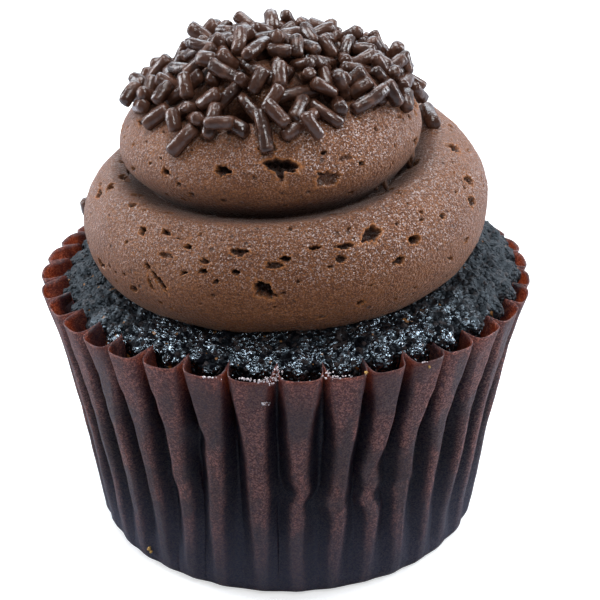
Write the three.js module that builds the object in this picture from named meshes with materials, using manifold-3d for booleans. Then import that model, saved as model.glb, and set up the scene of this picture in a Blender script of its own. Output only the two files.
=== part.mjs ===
// A chocolate cupcake: a round cake baked in a fluted paper case, with a thick rope of buttercream
// piped round it in a rising swirl, and chocolate sprinkles scattered over the top.
// Three solids: case, cake, and frosting with its sprinkles joined on.
// Millimetres, +Z up. The origin is the centre of the case's flat base.
import * as THREE from "three";
import { mergeVertices } from "three/addons/utils/BufferGeometryUtils.js";
import Module from "manifold-3d";

const wasm = await Module();
wasm.setup();

const TURN = 2 * Math.PI;

// ---- Driving dimensions ----

// Paper case: a flat base, a rounded heel, and a fluted wall that flares to the rim.
const CASE_HEIGHT = 37.8;
const BASE_RADIUS = 25.4;
const HEEL_HEIGHT = 2.6;
const HEEL_RADIUS = 28.1;
const WALL_RISE = 5.4; // how far the wall leans out in a straight line
const WALL_FLARE = 1.5; // and curls out further near the rim
const FLUTES = 36;
const FLUTE_PHASE = -0.042; // angle of the first inner fold
const FLUTE_UNEVEN = 0.016; // the folds stray from even spacing by up to this angle
const HEEL_FLUTE = 0.6; // depth of a flute, at the heel and at the rim
const RIM_FLUTE = 3.5;
const FLUTE_PINCH = 0.09; // share of a flute by which its sides lean over its inner fold
const FOLD_RISE = 1.4; // the inner folds stand this much higher than the outer ones at the rim
const SPREAD_SHARE = 0.35; // on one side the cake has spread the flutes by this share
const SPREAD_ANGLE = 0.1;
const PAPER = 0.5;
const COLUMNS_PER_FLUTE = 4;
const WALL_ROWS = 3;

// Cake: it fills the case, swells a little way into the flutes, and domes above the rim's inner
// folds, higher on one side.
const GAP = 0.3; // between solids that touch
const CAKE_EDGE = 37.8;
const CAKE_RIB = 1.6; // how far the side swells into the flutes at the edge
const DOME_RISE = 4.8;
const DOME_FALL = 3; // power of the fall from the middle of the dome
const DOME_SHOULDER = 0.6; // power that rounds the dome's edge
const CAKE_TILT = 1.7; // the dome is this much higher at the tilt angle's side
const TILT_ANGLE = 0.4;
const CAKE_LUMP = 0.35;

// Frosting: one rope, wound from its start angle. Turns are counted from the left of the cake (-X).
// It lies once round on the cake, then climbs, steps in and spirals up to the top.
const ROPE_START = -0.42;
const ROPE_END = 2.35;
const FIRST_REACH = 28.6; // outermost radius of the first coil
const START_IN = 8; // per turn before the left side, where the rope's start lies further in
const FIRST_HEIGHT = 46.6; // height of the rope's centre at the left side
const FIRST_CLIMB = 2.2; // per turn
const CLIMB_START = 0.22;
const CLIMB_TURNS = 0.8;
const CLIMB = 7.9;
const STEP_IN = 6;
const STEP_START = 0.42;
const STEP_TURNS = 0.6;
const UPPER_START = 1.05;
const UPPER_CLIMB = 3.4; // per turn, once on top of the first coil
const UPPER_IN = 6.8;
const LEAN_X = -0.4; // the upper coils lie off the cake's axis by this much
const LEAN_Y = -2.2;
const ROPE_RADIUS = 9.6;
const ROPE_TAPER = 0.5; // lost in each turn
const END_LENGTH = 0.16; // turns over which an end is rounded
const ROPE_STEPS_PER_TURN = 24;
const ROPE_SIDES = 14;
const CORE_RADIUS = 13;
const CORE_HALF_HEIGHT = 15;
const CORE_CENTRE = 55.2;

// Sprinkles: short rods, dropped one after another on to the top of the swirl, longest first.
const SPRINKLES = 88;
const SPRINKLE_RADIUS = 0.98;
const SHORTEST = 3.0;
const LONGEST = 7.3;
const SHORTENING = 0.028; // each one after the first is this much shorter
const SPRINKLE_SIDES = 5;
const SCATTER_RADIUS = 19.6;
const SCATTER_X = -1.3;
const SCATTER_Y = -0.4;
const SINK = 0.45; // share of its radius that a sprinkle sinks into what it lies on
const STANDING_EVERY = 17; // one in so many stands up out of the heap
const STRAY_TURN = -0.012; // and one has rolled down to the side of the first coil
const STRAY_PITCH = 1.2;
const CELL = 0.35; // grid on which the heap's height is kept
const SEED = 20611;

// ---- Helpers ----

const clamp = (v, low, high) => Math.min(high, Math.max(low, v));
const smooth = (v) => {
  const t = clamp(v, 0, 1);
  return t * t * (3 - 2 * t);
};

function colour(red, green, blue, roughness) {
  const made = new THREE.MeshStandardMaterial({ roughness, metalness: 0 });
  made.color.setRGB(red, green, blue);
  return made;
}

function solid(geometry) {
  const bare = geometry.clone();
  bare.deleteAttribute("normal");
  bare.deleteAttribute("uv");
  const merged = mergeVertices(bare, 1e-4);
  return new wasm.Manifold(
    new wasm.Mesh({
      numProp: 3,
      vertProperties: merged.attributes.position.array,
      triVerts: new Uint32Array(merged.index.array),
    }),
  );
}

function largest(made) {
  const bodies = made.decompose();
  return bodies.reduce((a, b) => (b.volume() > a.volume() ? b : a));
}

function meshOf(name, made, material) {
  const { vertProperties, triVerts } = made.getMesh();
  const geometry = new THREE.BufferGeometry();
  geometry.setAttribute("position", new THREE.BufferAttribute(vertProperties, 3));
  geometry.setIndex(new THREE.BufferAttribute(triVerts, 1));
  geometry.computeVertexNormals();
  const mesh = new THREE.Mesh(geometry, material);
  mesh.name = name;
  return mesh;
}

// Moves each vertex of a geometry to where move(x, y, z) puts it.
function reshape(geometry, move) {
  const position = geometry.attributes.position;
  for (let i = 0; i < position.count; i += 1) {
    const [x, y, z] = move(position.getX(i), position.getY(i), position.getZ(i));
    position.setXYZ(i, x, y, z);
  }
  return geometry;
}

// A lathe about +Z. LatheGeometry turns about +Y, so the result is tipped upright.
function lathe(outline, segments) {
  const points = outline.map(([r, z]) => new THREE.Vector2(r, z));
  return new THREE.LatheGeometry(points, segments).rotateX(Math.PI / 2);
}

// Turns an angle counted in even flutes into the angle where that part of a flute really is.
const fluteAngle = (flutes) => {
  const even = (flutes / FLUTES) * TURN;
  return even + FLUTE_PHASE + FLUTE_UNEVEN * Math.sin(5 * even + 2);
};

// ---- Paper case ----

const wallShare = (z) => clamp((z - HEEL_HEIGHT) / (CASE_HEIGHT - HEEL_HEIGHT), 0, 1);
const crownRadius = (z) => {
  const w = wallShare(z);
  return HEEL_RADIUS + WALL_RISE * w + WALL_FLARE * w ** 4;
};
const unspread = (angle) => 1 - SPREAD_SHARE * (0.5 + 0.5 * Math.cos(angle - SPREAD_ANGLE)) ** 3;
const fluteDepth = (z, angle) =>
  HEEL_FLUTE + (RIM_FLUTE * unspread(angle) - HEEL_FLUTE) * wallShare(z) ** 0.7;

// The even flute count at (x, y): its whole part names the flute, 0 at an inner fold.
const fluteCount = (x, y) => {
  const count = ((Math.atan2(y, x) / TURN) * FLUTES + FLUTES) % FLUTES;
  return Math.abs(count - Math.round(count)) < 1e-4 ? Math.round(count) % FLUTES : count;
};

function buildCase() {
  const outer = [[0, 0], [BASE_RADIUS, 0]];
  const heelMiddle = BASE_RADIUS + (HEEL_RADIUS - BASE_RADIUS) * Math.SQRT1_2;
  outer.push([heelMiddle, HEEL_HEIGHT * (1 - Math.SQRT1_2)]);
  for (let row = 0; row <= WALL_ROWS; row += 1) {
    const z = HEEL_HEIGHT + ((CASE_HEIGHT - HEEL_HEIGHT) * row) / WALL_ROWS;
    outer.push([crownRadius(z), z]);
  }
  const inner = outer
    .map(([r, z], i) => [Math.max(0, r - PAPER), i < 3 ? z + PAPER : z])
    .reverse();
  const geometry = lathe([...outer, ...inner], FLUTES * COLUMNS_PER_FLUTE);
  return reshape(geometry, (x, y, z) => {
    const radius = Math.hypot(x, y);
    const count = fluteCount(x, y);
    const t = count - Math.floor(count);
    const lobe = Math.sin(Math.PI * t) ** 0.8;
    const share = wallShare(z);
    const raised = smooth((radius - BASE_RADIUS) / (HEEL_RADIUS - BASE_RADIUS));
    const angle = fluteAngle(count - FLUTE_PINCH * share * Math.sin(TURN * t));
    const r = radius - fluteDepth(z, angle) * raised * (1 - lobe);
    const foldRise = FOLD_RISE * unspread(angle) * share ** 3 * (1 - lobe);
    return [r * Math.cos(angle), r * Math.sin(angle), z + foldRise];
  });
}

// ---- Cake ----

const cakeSide = (z, angle) => crownRadius(z) - fluteDepth(z, angle) - PAPER - GAP;

const lumps = (x, y) =>
  CAKE_LUMP * (Math.sin(0.55 * x + 1.3) * Math.sin(0.61 * y - 0.4) + 0.5 * Math.sin(1.1 * x - 0.9 * y));

// The dome's height at (x, y), where share runs from 0 in the middle to 1 at the edge.
function domeHeight(x, y, share) {
  const rise = (1 - share ** DOME_FALL) ** DOME_SHOULDER;
  const tilt = (CAKE_TILT * (x * Math.cos(TILT_ANGLE) + y * Math.sin(TILT_ANGLE))) / HEEL_RADIUS;
  return CAKE_EDGE + DOME_RISE * rise + tilt * (0.35 + 0.65 * rise) + lumps(x, y) * rise;
}

// The cake, or with a lift and a spread a slightly larger one, to cut the frosting's underside.
// Its outline holds, for each height, the share of the side's radius that it reaches there.
function cakeGeometry(lift, spread) {
  const floor = PAPER + GAP;
  const outline = [[0, floor], [0.87, floor], [0.975, HEEL_HEIGHT + 0.4]];
  for (const z of [10, 20, 30]) outline.push([1, z]);
  for (const share of [1, 0.97, 0.9, 0.8, 0.68, 0.5, 0.25, 0]) outline.push([share, CAKE_EDGE]);
  return reshape(lathe(outline, 2 * FLUTES), (x, y, z) => {
    const share = Math.hypot(x, y);
    const count = fluteCount(x, y);
    const angle = fluteAngle(count);
    const swell = CAKE_RIB * wallShare(z) * share ** 6 * (0.5 - 0.5 * Math.cos(TURN * count));
    const r = (share * cakeSide(z, angle) + swell) * spread;
    const placed = [r * Math.cos(angle), r * Math.sin(angle)];
    const onDome = z > CAKE_EDGE - 1e-3;
    return [...placed, onDome ? domeHeight(...placed, Math.min(1, share)) + lift : z];
  });
}

// ---- Frosting ----

const ropeAngle = (u) => Math.PI + u * TURN;
const climbed = (u) => smooth((u - CLIMB_START) / CLIMB_TURNS);
const steppedIn = (u) => smooth((u - STEP_START) / STEP_TURNS);
const upperTurns = (u) => Math.max(0, u - UPPER_START);
const reach = (u) =>
  FIRST_REACH - START_IN * Math.max(0, -u) - STEP_IN * steppedIn(u) - UPPER_IN * upperTurns(u);
const ropeHeight = (u) =>
  FIRST_HEIGHT + FIRST_CLIMB * u + CLIMB * climbed(u) + UPPER_CLIMB * upperTurns(u);
const endRounding = (u) => {
  const fromEnd = Math.min(u - ROPE_START, ROPE_END - u) / END_LENGTH;
  return Math.sqrt(1 - (1 - clamp(fromEnd, 0.02, 1)) ** 2);
};

// The rope at u turns: its centre, the direction out from the axis, and its half width.
function rope(u) {
  const full = ROPE_RADIUS - ROPE_TAPER * Math.max(0, u);
  const half = full * (0.78 + 0.22 * smooth((u - ROPE_START) / 0.4));
  const centre = Math.max(0.5, reach(u) - half);
  const out = [Math.cos(ropeAngle(u)), Math.sin(ropeAngle(u))];
  return {
    x: centre * out[0] + LEAN_X * steppedIn(u),
    y: centre * out[1] + LEAN_Y * steppedIn(u),
    z: ropeHeight(u) - (full - half),
    out,
    half: half * endRounding(u),
  };
}

function ropeSegment(from, to) {
  const steps = Math.max(2, Math.round((to - from) * ROPE_STEPS_PER_TURN));
  const tube = new THREE.CylinderGeometry(1, 1, 1, ROPE_SIDES, steps);
  return reshape(tube, (x, y, z) => {
    const at = rope(from + (to - from) * (y + 0.5));
    return [at.x + at.out[0] * x * at.half, at.y + at.out[1] * x * at.half, at.z + z * at.half];
  });
}

function core() {
  const ball = new THREE.SphereGeometry(1, 20, 10).rotateX(Math.PI / 2);
  return ball.scale(CORE_RADIUS, CORE_RADIUS, CORE_HALF_HEIGHT).translate(0, 0, CORE_CENTRE);
}

function swirl() {
  const pieces = [core()];
  const count = 6;
  const length = (ROPE_END - ROPE_START) / count;
  for (let i = 0; i < count; i += 1) {
    pieces.push(ropeSegment(ROPE_START + i * length, ROPE_START + (i + 1) * length));
  }
  return wasm.Manifold.union(pieces.map(solid));
}

// ---- Sprinkles ----

// The heap's height above each cell of a square grid, starting from the bare swirl.
function heapGrid() {
  const span = SCATTER_RADIUS + 8;
  const across = Math.ceil((2 * span) / CELL);
  const heights = new Float64Array(across * across);
  const stations = [];
  for (let u = ROPE_START; u <= ROPE_END; u += 0.01) stations.push(rope(u));
  for (let row = 0; row < across; row += 1) {
    for (let column = 0; column < across; column += 1) {
      const x = (column + 0.5) * CELL - span;
      const y = (row + 0.5) * CELL - span;
      const inCore = 1 - (x * x + y * y) / CORE_RADIUS ** 2;
      let top = inCore > 0 ? CORE_CENTRE + CORE_HALF_HEIGHT * Math.sqrt(inCore) : 0;
      for (const s of stations) {
        const inside = s.half ** 2 - (x - s.x) ** 2 - (y - s.y) ** 2;
        if (inside > 0) top = Math.max(top, s.z + Math.sqrt(inside));
      }
      heights[row * across + column] = top;
    }
  }
  const index = (x, y) => {
    const column = clamp(Math.floor((x + span) / CELL), 0, across - 1);
    const row = clamp(Math.floor((y + span) / CELL), 0, across - 1);
    return row * across + column;
  };
  return {
    at: (x, y) => heights[index(x, y)],
    raise: (x, y, z) => {
      const i = index(x, y);
      heights[i] = Math.max(heights[i], z);
    },
  };
}

function randomDraws(seed) {
  let state = seed;
  return () => {
    state = (Math.imul(state, 1664525) + 1013904223) >>> 0;
    return state / 4294967296;
  };
}

// The line on which a rod comes to rest, from one support on each side of its middle: its height
// at the middle and its slope.
function restingLine(heap, x, y, heading, half) {
  const alongX = Math.cos(heading);
  const alongY = Math.sin(heading);
  const supports = [-1, -0.75, -0.5, -0.25, 0, 0.25, 0.5, 0.75, 1].map((share) => {
    const s = share * (half + 0.4 * SPRINKLE_RADIUS);
    const across = [-0.45, 0, 0.45].map((w) =>
      heap.at(x + s * alongX - w * alongY, y + s * alongY + w * alongX),
    );
    return [s, Math.max(...across)];
  });
  let best = [-Infinity, 0];
  for (const [s0, h0] of supports.filter(([s]) => s <= 0)) {
    for (const [s1, h1] of supports.filter(([s]) => s > 0)) {
      const slope = (h1 - h0) / (s1 - s0);
      const height = h0 - slope * s0;
      if (height > best[0]) best = [height, slope];
    }
  }
  return best;
}

function heapNormal(heap, x, y) {
  const step = 1.1;
  const slopeX = (heap.at(x + step, y) - heap.at(x - step, y)) / (2 * step);
  const slopeY = (heap.at(x, y + step) - heap.at(x, y - step)) / (2 * step);
  return new THREE.Vector3(-clamp(slopeX, -2.5, 2.5), -clamp(slopeY, -2.5, 2.5), 1).normalize();
}

function raiseHeap(heap, rod) {
  const reach = rod.half + 0.4 * SPRINKLE_RADIUS;
  for (let s = -reach; s <= reach; s += CELL / 2) {
    for (let w = -SPRINKLE_RADIUS; w <= SPRINKLE_RADIUS; w += CELL / 2) {
      heap.raise(
        rod.x + s * rod.along.x - w * Math.sin(rod.heading),
        rod.y + s * rod.along.y + w * Math.cos(rod.heading),
        rod.z + s * rod.along.z + Math.sqrt(Math.max(0, SPRINKLE_RADIUS ** 2 - w * w)),
      );
    }
  }
}

// Rod i is dropped at point i of an even spread over the disc, nudged by a random draw.
function dropSprinkle(heap, draw, i) {
  const around = TURN * ((0.5 + i * 0.56984) % 1) + (draw() - 0.5) * 0.3;
  const ragged = 1 + 0.05 * Math.sin(3 * around + 1) + 0.05 * Math.sin(8 * around);
  const radius = SCATTER_RADIUS * ragged * Math.sqrt((0.5 + i * 0.754878) % 1) + draw() - 0.5;
  const x = SCATTER_X + radius * Math.cos(around);
  const y = SCATTER_Y + radius * Math.sin(around);
  const heading = draw() * TURN;
  const lean = 0.5 + 0.4 * draw();
  const length = Math.max(SHORTEST, LONGEST - SHORTENING * i - draw());
  const half = length / 2 - SPRINKLE_RADIUS;
  const [height, slope] = restingLine(heap, x, y, heading, half);
  const standing = i % STANDING_EVERY === 5 && radius < 0.8 * SCATTER_RADIUS;
  const pitch = standing ? lean : Math.atan(clamp(slope, -2, 2));
  const along = new THREE.Vector3(
    Math.cos(pitch) * Math.cos(heading),
    Math.cos(pitch) * Math.sin(heading),
    Math.sin(pitch),
  );
  const lift = heapNormal(heap, x, y).multiplyScalar(SPRINKLE_RADIUS * (1 - SINK));
  const raised = standing ? 0.5 * half * Math.sin(lean) - 0.4 : 0;
  const rod = { x: x + lift.x, y: y + lift.y, z: height + lift.z + raised, heading, along, half };
  raiseHeap(heap, rod);
  return rod;
}

function strayRod() {
  const at = rope(STRAY_TURN);
  const [outX, outY] = at.out;
  const away = at.half;
  const pitch = [-outY * Math.cos(STRAY_PITCH), outX * Math.cos(STRAY_PITCH), Math.sin(STRAY_PITCH)];
  const half = SHORTEST / 2 - SPRINKLE_RADIUS;
  return { x: at.x + away * outX, y: at.y + away * outY, z: at.z, along: new THREE.Vector3(...pitch), half };
}

function sprinkleGeometry({ x, y, z, along, half }) {
  const length = 2 * (half + SPRINKLE_RADIUS);
  const rod = new THREE.CylinderGeometry(SPRINKLE_RADIUS, SPRINKLE_RADIUS, length, SPRINKLE_SIDES, 1);
  const turn = new THREE.Quaternion().setFromUnitVectors(new THREE.Vector3(0, 1, 0), along);
  return rod.applyQuaternion(turn).translate(x, y, z);
}

function frostingWithSprinkles() {
  const cutter = solid(cakeGeometry(GAP, 1.01));
  const bare = largest(swirl().subtract(cutter));
  const heap = heapGrid();
  const draw = randomDraws(SEED);
  const rods = [strayRod()];
  for (let i = 0; i < SPRINKLES; i += 1) rods.push(dropSprinkle(heap, draw, i));
  return largest(wasm.Manifold.union([bare, ...rods.map(sprinkleGeometry).map(solid)]));
}

// ---- The cupcake ----

const cupcake = new THREE.Group();
cupcake.add(
  meshOf("case", solid(buildCase()), colour(0.09, 0.045, 0.04, 0.6)),
  meshOf("cake", solid(cakeGeometry(0, 1)), colour(0.018, 0.014, 0.014, 0.5)),
  meshOf("frosting", frostingWithSprinkles(), colour(0.13, 0.065, 0.04, 0.55)),
);

export default cupcake;
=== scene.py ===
"""A chocolate cupcake, put together in the order a baker makes it: the paper case, the cake, the
piped buttercream, the sprinkles, and the dried foam and loose crumbs on the case.

Each piece is worked out in millimetres, and scaled to metres when it is finished.
"""
import math

import bmesh
import bpy
import numpy as np
from mathutils import Matrix, Vector, noise
from mathutils.kdtree import KDTree


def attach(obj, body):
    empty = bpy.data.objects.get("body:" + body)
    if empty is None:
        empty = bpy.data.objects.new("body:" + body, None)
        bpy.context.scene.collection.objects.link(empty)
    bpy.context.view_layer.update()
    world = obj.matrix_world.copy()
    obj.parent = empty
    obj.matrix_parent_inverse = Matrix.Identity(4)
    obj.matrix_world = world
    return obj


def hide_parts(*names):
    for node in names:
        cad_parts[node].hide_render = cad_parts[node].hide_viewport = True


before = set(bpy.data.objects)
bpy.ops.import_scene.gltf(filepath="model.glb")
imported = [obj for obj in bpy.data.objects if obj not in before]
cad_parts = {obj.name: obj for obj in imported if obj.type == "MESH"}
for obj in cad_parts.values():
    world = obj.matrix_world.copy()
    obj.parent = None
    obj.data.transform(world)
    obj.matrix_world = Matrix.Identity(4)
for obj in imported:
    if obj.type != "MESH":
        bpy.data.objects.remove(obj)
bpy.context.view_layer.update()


# ---- Paper case ----
# A disc of thin brown greaseproof paper, pressed over a mould into a flat base and a wall of 36
# flutes. The fat of the cake has darkened it in patches and where it touches the cake, and the
# valleys of the flutes are darkened further as painted shade; near the base lies a painted bluish
# sheen. A few of the folds at the front have buckled.

TURN = 2 * math.pi
CASE_HEIGHT = 37.8
BASE_RADIUS = 25.4
HEEL_HEIGHT = 2.6
HEEL_RADIUS = 28.1
WALL_RISE = 5.4
WALL_FLARE = 1.5
FLUTES = 36
FLUTE_PHASE = -0.042
FLUTE_UNEVEN = 0.016
HEEL_FLUTE = 0.3
RIM_FLUTE = 3.5
FLUTE_PINCH = 0.09
FOLD_RISE = 1.0
SPREAD_SHARE = 0.35
SPREAD_ANGLE = 0.1
PAPER = 0.14
COLUMNS_PER_FLUTE = 18
WALL_ROWS = 54
FOLD_WANDER = 0.16  # share of a flute by which its folds wander sideways
WAVE = 0.22  # the wall's broad and fine unevenness, and that of its rim
FINE_WAVE = 0.10
RIM_WAVE = 0.18
BUCKLE_WIDTH = 5.5  # degrees

# The paper's pulp, a cooler pulp, and reddish fibres: dry, and where fat has soaked in.
PULP = (0.041, 0.021, 0.022)
COOL_PULP = (0.058, 0.043, 0.055)
FIBRE = (0.340, 0.134, 0.108)
FATTY_PULP = (0.024, 0.015, 0.018)
COOL_FATTY_PULP = (0.032, 0.028, 0.038)
FATTY_FIBRE = (0.072, 0.038, 0.038)
# Where the paper lies in the flute valleys against the dark cake: partly darkened by fat, partly painted
# shade.
AGAINST_CAKE_AND_PAINTED_SHADE = (0.005, 0.006, 0.011)
# Near the base: greasy paper, with a painted bluish sheen.
GREASE_AND_PAINTED_SHEEN_NEAR_BASE = (0.048, 0.051, 0.074)
FIBRE_SIZE = 0.17
GLOW_INSIDE = 0.42  # share of the light that comes through, seen from inside and from outside
GLOW_OUTSIDE = 0.28
LIT_PULP = (0.40, 0.10, 0.035)
LIT_FIBRE = (0.95, 0.40, 0.15)

# Buckles: angle in degrees, height, dent inwards, sideways kick in flutes, reach up and down.
BUCKLES = [
    (-89, 17.5, 0.4, 0.12, 1.8),
    (-81, 15.8, 0.5, -0.16, 1.7),
    (-66, 20.0, 0.5, -0.14, 2.8),
    (-66, 15.5, 0.5, -0.20, 1.7),
    (-57, 17.2, 0.8, 0.10, 1.1),
    (-112, 25.5, 0.4, 0.08, 2.2),
    (-121, 18.0, 0.3, -0.08, 1.8),
    (38, 16.0, 0.6, 0.16, 1.8),
    (104, 20.0, 0.6, -0.16, 1.8),
    (171, 15.0, 0.5, 0.12, 1.8),
]


def clamp(v, low=0.0, high=1.0):
    return min(high, max(low, v))


def smooth(v):
    t = clamp(v)
    return t * t * (3 - 2 * t)


def mix(a, b, share):
    return a + (b - a) * share


def wall_share(z):
    return clamp((z - HEEL_HEIGHT) / (CASE_HEIGHT - HEEL_HEIGHT))


def crown_radius(z):
    share = wall_share(z)
    return HEEL_RADIUS + WALL_RISE * share + WALL_FLARE * share**4


def unspread(angle):
    """One side of the cake has spread the flutes: the share of their depth that they keep."""
    return 1 - SPREAD_SHARE * (0.5 + 0.5 * math.cos(angle - SPREAD_ANGLE)) ** 3


def flute_depth(z, angle):
    return HEEL_FLUTE + (RIM_FLUTE * unspread(angle) - HEEL_FLUTE) * wall_share(z) ** 0.7


def flute_angle(flutes):
    """Turns an angle counted in even flutes into the angle where that part of a flute is."""
    even = flutes / FLUTES * TURN
    return even + FLUTE_PHASE + FLUTE_UNEVEN * math.sin(5 * even + 2)


def flute_count(x, y):
    """The even flute count at (x, y): its whole part names the flute, 0 at an inner fold."""
    count = (math.atan2(y, x) / TURN * FLUTES + FLUTES) % FLUTES
    return round(count) % FLUTES if abs(count - round(count)) < 1e-4 else count


def flute_form(t, share, flute):
    """How far out the paper stands at t across a flute: 0 at the inner folds, 1 on the crown.
    At the rim a flute is a wide round U, and lower down a flat strip between two flanks."""
    off = abs(2 * t - 1)
    strip = 0.19 + 0.16 * noise.noise((flute * 3.7, share * 1.6, 4.1)) + 0.95 * max(0, share - 0.6)
    side = clamp((off - strip) / (1 - strip))
    pleat = 1 - side * (1.3 - 0.3 * side)
    round_u = (1 - off**2.8) ** 0.55
    return mix(pleat, round_u, smooth((share - 0.78) / 0.22))


def lathe(outline, steps):
    """Spins an outline of radius and height about the upright axis."""
    turned = bmesh.new()
    line = [turned.verts.new((r, 0, z)) for r, z in outline]
    edges = [turned.edges.new(pair) for pair in zip(line, line[1:])]
    around = {"axis": (0, 0, 1), "cent": (0, 0, 0), "angle": TURN, "steps": steps}
    bmesh.ops.spin(turned, geom=line + edges, use_merge=True, **around)
    bmesh.ops.remove_doubles(turned, verts=turned.verts, dist=1e-4)
    bmesh.ops.recalc_face_normals(turned, faces=turned.faces)
    outward = sum(f.normal.xy.dot(f.calc_center_median().xy) for f in turned.faces)
    if outward < 0:
        bmesh.ops.reverse_faces(turned, faces=turned.faces)
    return turned


def rise_of(edge):
    return abs(edge.verts[0].co.z - edge.verts[1].co.z)


def finished(shape, name, material):
    """Scales a shape to metres and makes it a smooth piece of that name and material."""
    bmesh.ops.scale(shape, vec=(0.001, 0.001, 0.001), verts=shape.verts)
    mesh = bpy.data.meshes.new(name)
    shape.to_mesh(mesh)
    shape.free()
    mesh.shade_smooth()
    mesh.materials.append(material)
    piece = bpy.data.objects.new(name, mesh)
    bpy.context.scene.collection.objects.link(piece)
    return piece


def feed(tree, node, inputs):
    """Gives a node its inputs. Each is a value or another node's output."""
    for key, value in inputs.items():
        if isinstance(value, bpy.types.NodeSocket):
            tree.links.new(value, node.inputs[key])
        else:
            node.inputs[key].default_value = value


def place(tree, kind, inputs=None, **settings):
    """Adds a node with its settings and inputs."""
    made = tree.nodes.new("ShaderNode" + kind)
    for key, value in settings.items():
        setattr(made, key, value)
    feed(tree, made, inputs or {})
    return made


def material_named(name):
    """A new material, its node tree, its Principled shader, and the piece's own coordinates."""
    material = bpy.data.materials.new(name)
    material.use_nodes = True
    tree = material.node_tree
    tree.nodes.clear()
    shader = place(tree, "BsdfPrincipled")
    place(tree, "OutputMaterial", {"Surface": shader.outputs[0]})
    spot = place(tree, "TexCoord").outputs["Object"]
    return material, tree, shader, spot


def blend(tree, share, a, b):
    """Mixes two colours by a share that changes over the surface."""
    first, second = [(*value, 1) if isinstance(value, tuple) else value for value in (a, b)]
    return place(tree, "Mix", {0: share, 6: first, 7: second}, data_type="RGBA").outputs[2]


def ranged(tree, value, low, high, to_low=0.0, to_high=1.0):
    """Carries the span from low to high of a value over to another span, with soft ends."""
    spans = {0: value, 1: low, 2: high, 3: to_low, 4: to_high}
    return place(tree, "MapRange", spans, interpolation_type="SMOOTHSTEP").outputs[0]


def times(tree, a, b, operation="MULTIPLY"):
    """Joins two values with one operation of arithmetic."""
    return place(tree, "Math", {0: a, 1: b}, operation=operation).outputs[0]


def grain(tree, spot, size):
    """A height made of specks of one size in millimetres, as of sugar or dust."""
    shape = {"Vector": spot, "Scale": 1000 / size, "Detail": 2.0, "Roughness": 0.6}
    return place(tree, "TexNoise", shape).outputs[0]


def make_packed_group():
    """Grains packed side by side, as in felt, crumb or sugar. Each has draws of its own."""
    group = bpy.data.node_groups.new("packed grains", "ShaderNodeTree")
    group.interface.new_socket("Vector", in_out="INPUT", socket_type="NodeSocketVector")
    group.interface.new_socket("Size mm", in_out="INPUT", socket_type="NodeSocketFloat").default_value = 0.2
    for name, kind in (("First", "Float"), ("Second", "Float"), ("Lean", "Vector"), ("Dome", "Float")):
        group.interface.new_socket(name, in_out="OUTPUT", socket_type="NodeSocket" + kind)
    start = group.nodes.new("NodeGroupInput")
    end = group.nodes.new("NodeGroupOutput")
    scale = times(group, 1000.0, start.outputs["Size mm"], "DIVIDE")
    cells = place(group, "TexVoronoi", {"Vector": start.outputs["Vector"], "Scale": scale})
    split = place(group, "SeparateXYZ", {0: cells.outputs["Color"]})
    half_way = {0: cells.outputs["Color"], 1: (0.5, 0.5, 0.5)}
    centred = place(group, "VectorMath", half_way, operation="SUBTRACT")
    from_middle = cells.outputs["Distance"]
    dome = ranged(group, times(group, from_middle, from_middle), 0, 0.4, 1, 0)
    feed(group, end, {"First": split.outputs[0], "Second": split.outputs[1]})
    feed(group, end, {"Lean": centred.outputs[0], "Dome": dome})
    return group


PACKED = make_packed_group()


def packed(tree, spot, size):
    """Places the group of packed grains, and gives its outputs by name."""
    return place(tree, "Group", {"Vector": spot, "Size mm": size}, node_tree=PACKED).outputs


def leaning(tree, normal, lean, amount):
    """Turns a normal by each grain's lean, so that the grains catch the light one by one."""
    scaled = place(tree, "VectorMath", {0: lean, "Scale": amount}, operation="SCALE").outputs[0]
    summed = place(tree, "VectorMath", {0: normal, 1: scaled}, operation="ADD").outputs[0]
    return place(tree, "VectorMath", {0: summed}, operation="NORMALIZE").outputs[0]


def bumped(tree, height, distance_mm, strength=1.0, under=None):
    """A normal from a height whose full range is a distance in millimetres."""
    made = place(tree, "Bump", {"Height": height, "Distance": distance_mm / 1000, "Strength": strength})
    if under is not None:
        tree.links.new(under, made.inputs["Normal"])
    return made.outputs[0]


def attribute(tree, name, output="Fac"):
    return place(tree, "Attribute", attribute_name=name).outputs[output]


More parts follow.
